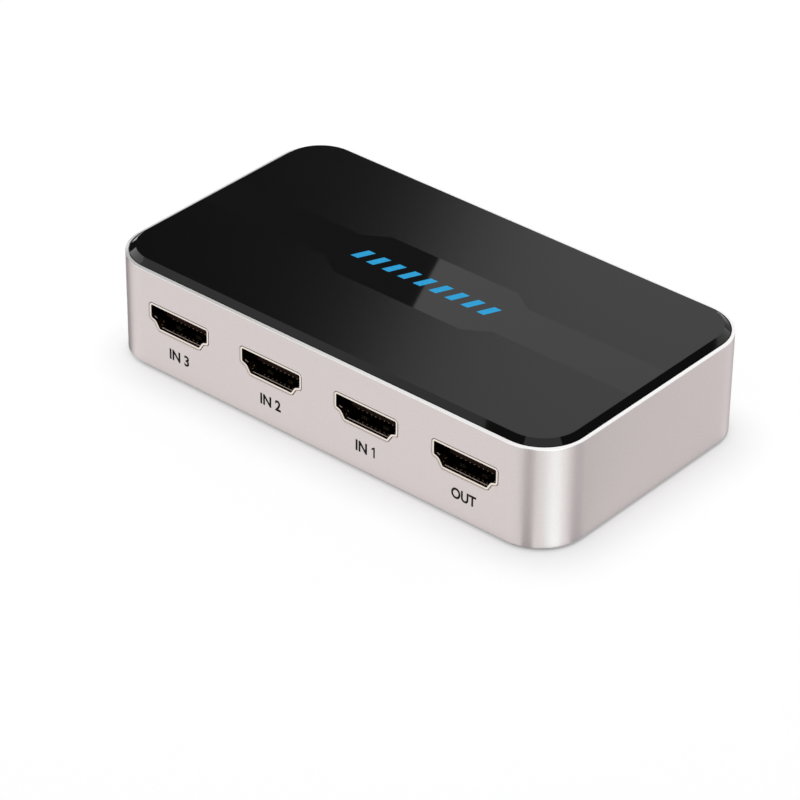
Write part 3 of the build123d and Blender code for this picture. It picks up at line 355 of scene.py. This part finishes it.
class Finish(Nodes):
    """A material under construction: a principled shader and the nodes that feed it."""

    def __init__(self, name, **settings):
        self.material = bpy.data.materials.new(name)
        self.material.use_nodes = True
        super().__init__(self.material.node_tree)
        self.shader = self.tree.nodes["Principled BSDF"]
        self.feed(self.shader, {key.replace("_", " "): value for key, value in settings.items()})

    def place(self):
        """The point on the object, in the frame's metres."""
        return self.node("ShaderNodeTexCoord", "Object")

    def normal(self):
        """The direction that the surface faces."""
        return self.node("ShaderNodeNewGeometry", "Normal")

    def speckle(self, size, detail=2.0, stretch=(1, 1, 1)):
        """Noise whose grains are about as large as a size."""
        scaled = self.node("ShaderNodeVectorMath", inputs={0: self.place(), 1: stretch}, operation="MULTIPLY")
        return self.node("ShaderNodeTexNoise", inputs={"Vector": scaled, "Scale": 1 / size, "Detail": detail})

    def mottle(self, size, low, high):
        """A colour that wanders between two colours across the surface."""
        amount = self.ramp(self.speckle(size, detail=3.0), NOISE_LOW, NOISE_HIGH)
        return self.blend(amount, low, high)

    def shade(self, size, low, high):
        """Lets the surface's colour wander between two colours."""
        self.feed(self.shader, {"Base Color": self.mottle(size, low, high)})

    def vary(self, socket, size, low, high):
        """Lets a number wander between two values across the surface."""
        self.feed(self.shader, {socket: self.ramp(self.speckle(size), NOISE_LOW, NOISE_HIGH, low, high)})

    def grain(self, height, size, strength, stretch=(1, 1, 1)):
        """Gives the surface a fine relief of a real height."""
        noise = self.speckle(size, stretch=stretch)
        bump = self.node("ShaderNodeBump", inputs={"Height": noise, "Distance": height, "Strength": strength})
        self.feed(self.shader, {"Normal": bump})


def band_metal():
    """Fine satin aluminium in pale champagne, with a polished rim, and painted shade darkening the broken
    edges at the openings.
    """
    finish = Finish("band_metal_finish", Metallic=1.0, Anisotropic=0.75, Anisotropic_Rotation=0.25)
    x, y, z = finish.axes(finish.place())
    _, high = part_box("housing_band")
    rim_edge = high.z - RIM_DEPTH
    rim = finish.ramp(z, rim_edge - RIM_SOFTNESS, rim_edge + RIM_SOFTNESS)
    near_face = finish.above(finish.calculate("ABSOLUTE", y), high.y - BROKEN_EDGE)
    turned = finish.within(finish.axes(finish.normal())[1], FACING_WALL)
    flat_part = finish.within(x, FLAT_WALL_HALF_LENGTH)
    # Painted shade: the openings' broken edges get a darker colour, for the shadow gap round the socket
    # shells
    broken = finish.both(finish.both(near_face, turned), flat_part)
    satin_and_edge_shade = finish.blend(broken, finish.mottle(BAND_MOTTLE, *BAND_SATIN), BROKEN_EDGE_SHADE_COLOUR)
    finish.feed(finish.shader, {
        "Base Color": finish.blend(rim, satin_and_edge_shade, RIM_COLOUR),
        "Roughness": finish.ramp(rim, 0, 1, BAND_ROUGHNESS, RIM_ROUGHNESS),
        "Tangent": finish.node("ShaderNodeTangent", direction_type="RADIAL", axis="Z"),
    })
    finish.grain(BAND_RELIEF, BAND_GRAIN, finish.ramp(rim, 0, 1, BAND_RELIEF_STRENGTH, 0.0))
    return finish


def lid_gloss():
    """Black moulded lid: satin, with a mirror-smooth band that widens round the middle."""
    finish = Finish("lid_gloss_finish", Specular_IOR_Level=0.30)
    x, y, z = finish.axes(finish.place())
    half_width = finish.ramp(
        finish.calculate("ABSOLUTE", x),
        GLOSS_MIDDLE_FLAT, GLOSS_MIDDLE_END, GLOSS_MIDDLE_HALF_WIDTH, GLOSS_HALF_WIDTH,
    )
    glossy = finish.within(y, half_width)
    top = finish.above(z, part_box("top_panel")[1].z - SATIN_DEPTH)
    satin = finish.both(top, finish.calculate("SUBTRACT", 1.0, glossy))
    finish.feed(finish.shader, {
        "Base Color": finish.blend(satin, GLOSS_COLOUR, SATIN_COLOUR),
        "Roughness": finish.ramp(satin, 0, 1, GLOSS_ROUGHNESS, SATIN_ROUGHNESS),
    })
    finish.grain(SATIN_RELIEF, SATIN_GRAIN, finish.ramp(satin, 0, 1, 0.0, SATIN_RELIEF_STRENGTH))
    return finish


def gilt_shell():
    """Pale gilt on the sockets' rolled front edge, painted shade darkening their sleeves, and a painted
    highlight on the sleeves' floor.
    """
    finish = Finish("gilt_shell_finish", Metallic=1.0)
    _, y, _ = finish.axes(finish.place())
    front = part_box("hdmi_shell_output")[0].y
    # Painted shade: the sleeve behind the front edge gets a dark colour
    inside = finish.ramp(y, front + SLEEVE_START, front + SLEEVE_FULL)
    floor = finish.above(finish.axes(finish.normal())[2], FACING_UP)
    # Painted highlight: a pale matt line across the sleeve's floor
    from_highlight = finish.calculate("SUBTRACT", y, front + LIP_HIGHLIGHT_DEPTH)
    line = finish.both(finish.within(from_highlight, LIP_HIGHLIGHT_WIDTH / 2), floor)
    gilt = finish.blend(finish.speckle(GILT_MOTTLE), *GILT)
    sleeve_shade_and_highlight = finish.blend(line, SLEEVE_SHADE_COLOUR, LIP_HIGHLIGHT_COLOUR)
    finish.feed(finish.shader, {
        "Base Color": finish.blend(inside, gilt, sleeve_shade_and_highlight),
        "Metallic": finish.calculate("SUBTRACT", 1.0, line),
        "Roughness": finish.ramp(inside, 0, 1, GILT_ROUGHNESS, SLEEVE_ROUGHNESS),
    })
    return finish


def lamp_clear():
    """Water-clear cast epoxy with a faint haze."""
    finish = Finish("lamp_clear_finish", Transmission_Weight=0.85, IOR=1.53)
    finish.shade(EPOXY_MOTTLE, *EPOXY_COLOURS)
    finish.vary("Roughness", EPOXY_HAZE_SIZE, *EPOXY_HAZE)
    return finish


def board_laminate():
    """Green solder mask over the faint weave of the glass cloth."""
    finish = Finish("board_laminate_finish", Coat_Weight=0.3, Coat_Roughness=0.15)
    weave = finish.node("ShaderNodeTexChecker", "Fac", {"Vector": finish.place(), "Scale": 1 / CLOTH_PITCH})
    finish.feed(finish.shader, {"Base Color": finish.blend(weave, *CLOTH_COLOURS)})
    finish.vary("Roughness", CLOTH_PITCH, *CLOTH_ROUGHNESS)
    finish.grain(CLOTH_RELIEF, CLOTH_PITCH / 2, CLOTH_RELIEF_STRENGTH)
    return finish


def plastic(name, low, high, roughness, grain_size, relief, shine=0.5):
    """Moulded plastic with a fine spark texture."""
    finish = Finish(name + "_finish", Specular_IOR_Level=shine)
    finish.shade(PLASTIC_SHADE_GRAINS * grain_size, low, high)
    swing = PLASTIC_ROUGHNESS_SWING
    finish.vary("Roughness", PLASTIC_SHEEN_GRAINS * grain_size, roughness - swing, roughness + swing)
    finish.grain(relief, grain_size, PLASTIC_RELIEF_STRENGTH)
    return finish


def plated(name, low, high, roughness, mark_size):
    """Plated or rolled sheet metal with faint rolling marks."""
    finish = Finish(name + "_finish", Metallic=1.0)
    finish.shade(mark_size, low, high)
    swing = METAL_ROUGHNESS_SWING
    finish.vary("Roughness", mark_size, roughness - swing, roughness + swing)
    finish.grain(METAL_RELIEF, mark_size / METAL_GRAINS_PER_MARK, METAL_RELIEF_STRENGTH, MARK_STRETCH)
    return finish


OWN_FINISHES = {
    "band_metal": band_metal,
    "lid_gloss": lid_gloss,
    "gilt_shell": gilt_shell,
    "lamp_clear": lamp_clear,
    "board_laminate": board_laminate,
}


def slot_finish(slot):
    """The finish of a material slot."""
    if slot in PLASTICS:
        return plastic(slot, *PLASTICS[slot])
    if slot in METALS:
        return plated(slot, *METALS[slot])
    return OWN_FINISHES[slot]()


def finish_nodes():
    """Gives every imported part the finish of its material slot."""
    made = {}
    for part in frame["record"]["subparts"]:
        slot = part["material_slot"]
        if slot not in made:
            made[slot] = slot_finish(slot).material
        mesh = frame["nodes"][part["node"]].data
        for index in range(len(mesh.materials)):
            mesh.materials[index] = made[slot]
        if not mesh.materials:
            mesh.materials.append(made[slot])


def make_camera():
    """A camera at the photograph's angle, without shift or depth of field."""
    across, along = math.cos(CAMERA_AZIMUTH), math.sin(CAMERA_AZIMUTH)
    out, rise = math.cos(CAMERA_ELEVATION), math.sin(CAMERA_ELEVATION)
    back = Vector((along * out, -across * out, rise))
    level_right = Vector((across, along, 0))
    level_up = back.cross(level_right)
    straight, tilted = math.cos(CAMERA_ROLL), math.sin(CAMERA_ROLL)
    right = straight * level_right + tilted * level_up
    up = straight * level_up - tilted * level_right
    target = AIM_RIGHT * level_right + AIM_UP * level_up + Vector((0, 0, AIM_HEIGHT))
    data = bpy.data.cameras.new("camera")
    data.lens = LENS
    data.sensor_width = SENSOR
    data.clip_start = CLIP_START
    data.clip_end = CLIP_END
    camera = bpy.data.objects.new("camera", data)
    turn = Matrix((right, up, back)).transposed().to_4x4()
    camera.matrix_world = Matrix.Translation(target + CAMERA_DISTANCE * back) @ turn
    scene.collection.objects.link(camera)
    scene.camera = camera


def ink(name, colour, roughness):
    """Printing ink, a little uneven."""
    finish = Finish(name)
    darker = tuple(INK_DARKENING * part for part in colour)
    finish.shade(INK_MOTTLE, darker, colour)
    finish.feed(finish.shader, {"Roughness": roughness, "Specular IOR Level": INK_SHINE})
    return finish.material


def thicken(shape):
    """Gives a flat shape at z = 0 the thickness of ink, as a closed solid."""
    bmesh.ops.remove_doubles(shape, verts=shape.verts, dist=SAME_POINT)
    faces = bmesh.ops.extrude_face_region(shape, geom=shape.faces[:])["geom"]
    raised = [item for item in faces if isinstance(item, bmesh.types.BMVert)]
    bmesh.ops.translate(shape, verts=raised, vec=(0, 0, INK_THICKNESS))
    bmesh.ops.recalc_face_normals(shape, faces=shape.faces[:])


def print_shape(name, shape, place, material):
    """Prints a flat shape on the housing. The place turns and moves it from the XY plane."""
    thicken(shape)
    mesh = bpy.data.meshes.new(name)
    shape.to_mesh(mesh)
    shape.free()
    mesh.transform(place)
    mesh.materials.append(material)
    piece = bpy.data.objects.new(name, mesh)
    scene.collection.objects.link(piece)
    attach(piece, "housing")


def add_outline(shape, points):
    """Adds a flat face with a given outline."""
    shape.faces.new([shape.verts.new((x, y, 0)) for x, y in points])


def lid_stripes(material):
    """A row of plain slanted stripes across the middle of the lid."""
    shape = bmesh.new()
    low, high = -STRIPE_HEIGHT / 2, STRIPE_HEIGHT / 2
    half, slant = STRIPE_WIDTH / 2, STRIPE_SLANT / 2
    for i in range(STRIPE_COUNT):
        x = (i - (STRIPE_COUNT - 1) / 2) * STRIPE_PITCH
        add_outline(shape, [
            (x - half - slant, low), (x + half - slant, low),
            (x + half + slant, high), (x - half + slant, high),
        ])
    print_shape("lid_stripes", shape, Matrix.Translation((0, 0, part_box("top_panel")[1].z)), material)


def font_shape(name, words):
    """The flat shape of some words in Blender's own font."""
    curve = bpy.data.curves.new(name, "FONT")
    curve.body = words
    curve.resolution_u = LETTER_CURVE_STEPS
    curve.offset = LETTER_SWELL
    text = bpy.data.objects.new(name + "_text", curve)
    scene.collection.objects.link(text)
    bpy.context.view_layer.update()
    flat = bpy.data.meshes.new_from_object(text.evaluated_get(bpy.context.evaluated_depsgraph_get()))
    bpy.data.objects.remove(text)
    shape = bmesh.new()
    shape.from_mesh(flat)
    return shape


def lettering(name, words, height, width, place, material):
    """Printed words of a given height and width. A last 1 gets a flag, as the font's is a bare stroke."""
    shape = font_shape(name, words.rstrip("1"))
    if words.endswith("1"):
        left = max((vertex.co.x for vertex in shape.verts), default=0) + WORD_SPACE
        tall = max((vertex.co.y for vertex in shape.verts), default=1)
        add_outline(shape, [(left + x * tall, y * tall) for x, y in FIGURE_ONE])
    xs = [vertex.co.x for vertex in shape.verts]
    ys = [vertex.co.y for vertex in shape.verts]
    middle = Vector(((min(xs) + max(xs)) / 2, (min(ys) + max(ys)) / 2, 0))
    bmesh.ops.translate(shape, verts=shape.verts, vec=-middle)
    scale = (width / (max(xs) - min(xs)), height / (max(ys) - min(ys)), 1)
    bmesh.ops.scale(shape, verts=shape.verts, vec=scale)
    print_shape(name, shape, place, material)


def wall_place(x, y, z, turn):
    """A place on an upright wall, facing out of it."""
    upright = Matrix.Rotation(math.pi / 2, 4, "X")
    return Matrix.Translation((x, y, z)) @ Matrix.Rotation(turn, 4, "Z") @ upright


def print_marks():
    """Stripes on the lid, a label under each socket and a number under each channel lamp."""
    lid_stripes(ink("accent_ink", ACCENT_COLOUR, ACCENT_ROUGHNESS))
    dark = ink("label_ink", LABEL_COLOUR, LABEL_ROUGHNESS)
    front, back = (corner.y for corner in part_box("housing_band"))
    for socket, (words, width) in LABELS.items():
        low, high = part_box(f"hdmi_shell_{socket}")
        place = wall_place((low.x + high.x) / 2, front, LABEL_Z, 0)
        lettering(f"label_{socket}", words, LABEL_HEIGHT, width, place, dark)
    for number, width in LAMP_LABEL_WIDTHS.items():
        low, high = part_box(f"channel_lamp_{number}")
        z = (low.z + high.z) / 2 - LAMP_LABEL_DROP
        place = wall_place((low.x + high.x) / 2, back, z, math.pi)
        lettering(f"label_lamp_{number}", number, LAMP_LABEL_HEIGHT, width, place, dark)


def make_world():
    """A pale room: white where it is seen or mirrored, and a plain level of light."""
    world = bpy.data.worlds.new("room")
    world.use_nodes = True
    nodes = Nodes(world.node_tree)
    strength = nodes.ramp(nodes.rays("Camera", "Glossy", "Transmission"), 0, 1, ROOM_LIGHT, 1.0)
    nodes.feed(world.node_tree.nodes["Background"], {"Color": (1.0, 1.0, 1.0), "Strength": strength})
    scene.world = world


def make_key():
    """A soft lamp almost overhead, which mirrors don't show."""
    data = bpy.data.lights.new("key", "AREA")
    data.shape = "DISK"
    data.size = KEY_SIZE
    data.energy = KEY_POWER
    key = bpy.data.objects.new("key", data)
    key.location = KEY_PLACE
    key.rotation_mode = "QUATERNION"
    key.rotation_quaternion = (-Vector(KEY_PLACE)).to_track_quat("-Z", "Y")
    key.visible_glossy = False
    key.visible_camera = False
    scene.collection.objects.link(key)


def plane(name, corners, material):
    """A flat piece of the studio."""
    mesh = bpy.data.meshes.new(name)
    mesh.from_pydata(corners, [], [tuple(range(len(corners)))])
    mesh.materials.append(material)
    piece = bpy.data.objects.new(name, mesh)
    scene.collection.objects.link(piece)
    return piece


def floor_finish(name, floor_lift):
    """Pale matt floor that is lifted where it is seen, and evenly pale where metal mirrors it."""
    finish = Finish(name, Roughness=FLOOR_ROUGHNESS, Specular_IOR_Level=0.0)
    mirrored = finish.rays("Glossy")
    lift = finish.calculate("MULTIPLY", finish.rays("Camera", "Transmission"), floor_lift)
    mirrored_lift = finish.calculate("MULTIPLY", mirrored, MIRRORED_FLOOR_LIFT)
    finish.feed(finish.shader, {
        "Base Color": finish.blend(mirrored, FLOOR_COLOUR, MIRRORED_FLOOR_COLOUR),
        "Emission Color": (1.0, 1.0, 1.0),
        "Emission Strength": finish.calculate("ADD", lift, mirrored_lift),
    })
    return finish.material


def make_floor():
    """A floor that is white where nothing shades it, with a painted shadow under the box."""
    half = FLOOR_SIZE / 2
    square = [(-half, -half), (half, -half), (half, half), (-half, half)]
    plane("floor", level(square, 0), floor_finish("floor_finish", FLOOR_LIFT))
    right, back = SHADED_FLOOR_SHIFT
    outline = [(x + right, y + back) for x, y in box_outline(SHADED_FLOOR_REACH)]
    # Painted shadow: a patch of floor with less lift under the box
    shaded = floor_finish("shaded_floor_finish", SHADED_FLOOR_LIFT)
    plane("floor_under_box", level(outline, SHADED_FLOOR_HEIGHT), shaded)


def card(name, corners, light):
    """A card of a given brightness that only mirrors see."""
    finish = Finish(name + "_finish", Base_Color=(0.0, 0.0, 0.0), Roughness=1.0, Specular_IOR_Level=0.0)
    finish.feed(finish.shader, {"Emission Color": light, "Emission Strength": 1.0})
    piece = plane(name, corners, finish.material)
    piece.visible_camera = False
    piece.visible_diffuse = False
    piece.visible_shadow = False
    piece.visible_transmission = False


def level(points, z):
    """Plan points at one height."""
    return [(x, y, z) for x, y in points]


def card_corners(line, height):
    """The corners of a card that lies at a height, or that stands on its line between two heights."""
    if isinstance(height, tuple):
        low, high = height
        return level(line, low) + level(line[::-1], high)
    return level(line, height)


def corner_centres():
    """Plan points that the band's corners turn about."""
    low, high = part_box("housing_band")
    left, right = low.x + CORNER_RADIUS, high.x - CORNER_RADIUS
    front, back = low.y + CORNER_RADIUS, high.y - CORNER_RADIUS
    return {"left": Vector((left, front)), "near": Vector((right, front)), "far_right": Vector((right, back))}


def corner_strip(centre, start, end):
    """The outline on the floor that a corner mirrors to the camera between two of its angles."""
    wall, far = [], []
    for i in range(STRIP_STEPS + 1):
        angle = start + (end - start) * i / STRIP_STEPS
        mirrored = 2 * angle - CAMERA_AZIMUTH
        foot = centre + CORNER_RADIUS * Vector((math.sin(angle), -math.cos(angle)))
        wall.append(foot)
        far.append(foot + STRIP_LENGTH * Vector((math.sin(mirrored), -math.cos(mirrored))))
    return wall + far[::-1]


def right_wall_strip(near, far):
    """The outline on the floor that the wall between the two right corners mirrors to the camera."""
    right = CORNER_RADIUS * Vector((1, 0))
    away = STRIP_LENGTH * Vector((math.sin(CAMERA_AZIMUTH), math.cos(CAMERA_AZIMUTH)))
    near, far = near + right, far + right
    return [near, near + away, far + away, far]


def box_outline(reach):
    """The box's outline in plan, larger all round by a reach, or smaller where the reach is negative."""
    low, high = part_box("housing_band")
    radius = CORNER_RADIUS + reach
    half = Vector((high.x - low.x, high.y - low.y)) / 2 - Vector((CORNER_RADIUS, CORNER_RADIUS))
    outline = []
    for side, end, start in ((1, 1, 0), (-1, 1, 90), (-1, -1, 180), (1, -1, 270)):
        for i in range(CORNER_STEPS + 1):
            angle = math.radians(start + 90 * i / CORNER_STEPS)
            x = side * half.x + radius * math.cos(angle)
            y = end * half.y + radius * math.sin(angle)
            outline.append((x, y))
    return outline


def make_cards():
    """The cards that the lid, its chamfer, the corners and the right wall mirror, as in the photograph."""
    for name, (line, height, light) in CARDS.items():
        card(name, card_corners(line, height), (light,) * 3)
    centres = corner_centres()
    for corner, start, end, light in CORNER_STRIPS:
        outline = corner_strip(centres[corner], math.radians(start), math.radians(end))
        card(f"{corner}_strip_{start}", level(outline, STRIP_LIFT), light)
    # Painted shade: the right wall mirrors a grey strip in place of the shaded floor beside it
    outline = right_wall_strip(centres["near"], centres["far_right"])
    card("right_wall_strip", level(outline, STRIP_LIFT), RIGHT_WALL_LIGHT)
    # Painted shade: the dark card under the box, for the foot of the walls to mirror
    card("card_under_box", level(box_outline(UNDER_CARD_REACH), UNDER_CARD_LIFT), (UNDER_CARD_LIGHT,) * 3)


scene.view_settings.view_transform = "Standard"
make_camera()
finish_nodes()
print_marks()
make_world()
make_key()
make_floor()
make_cards()
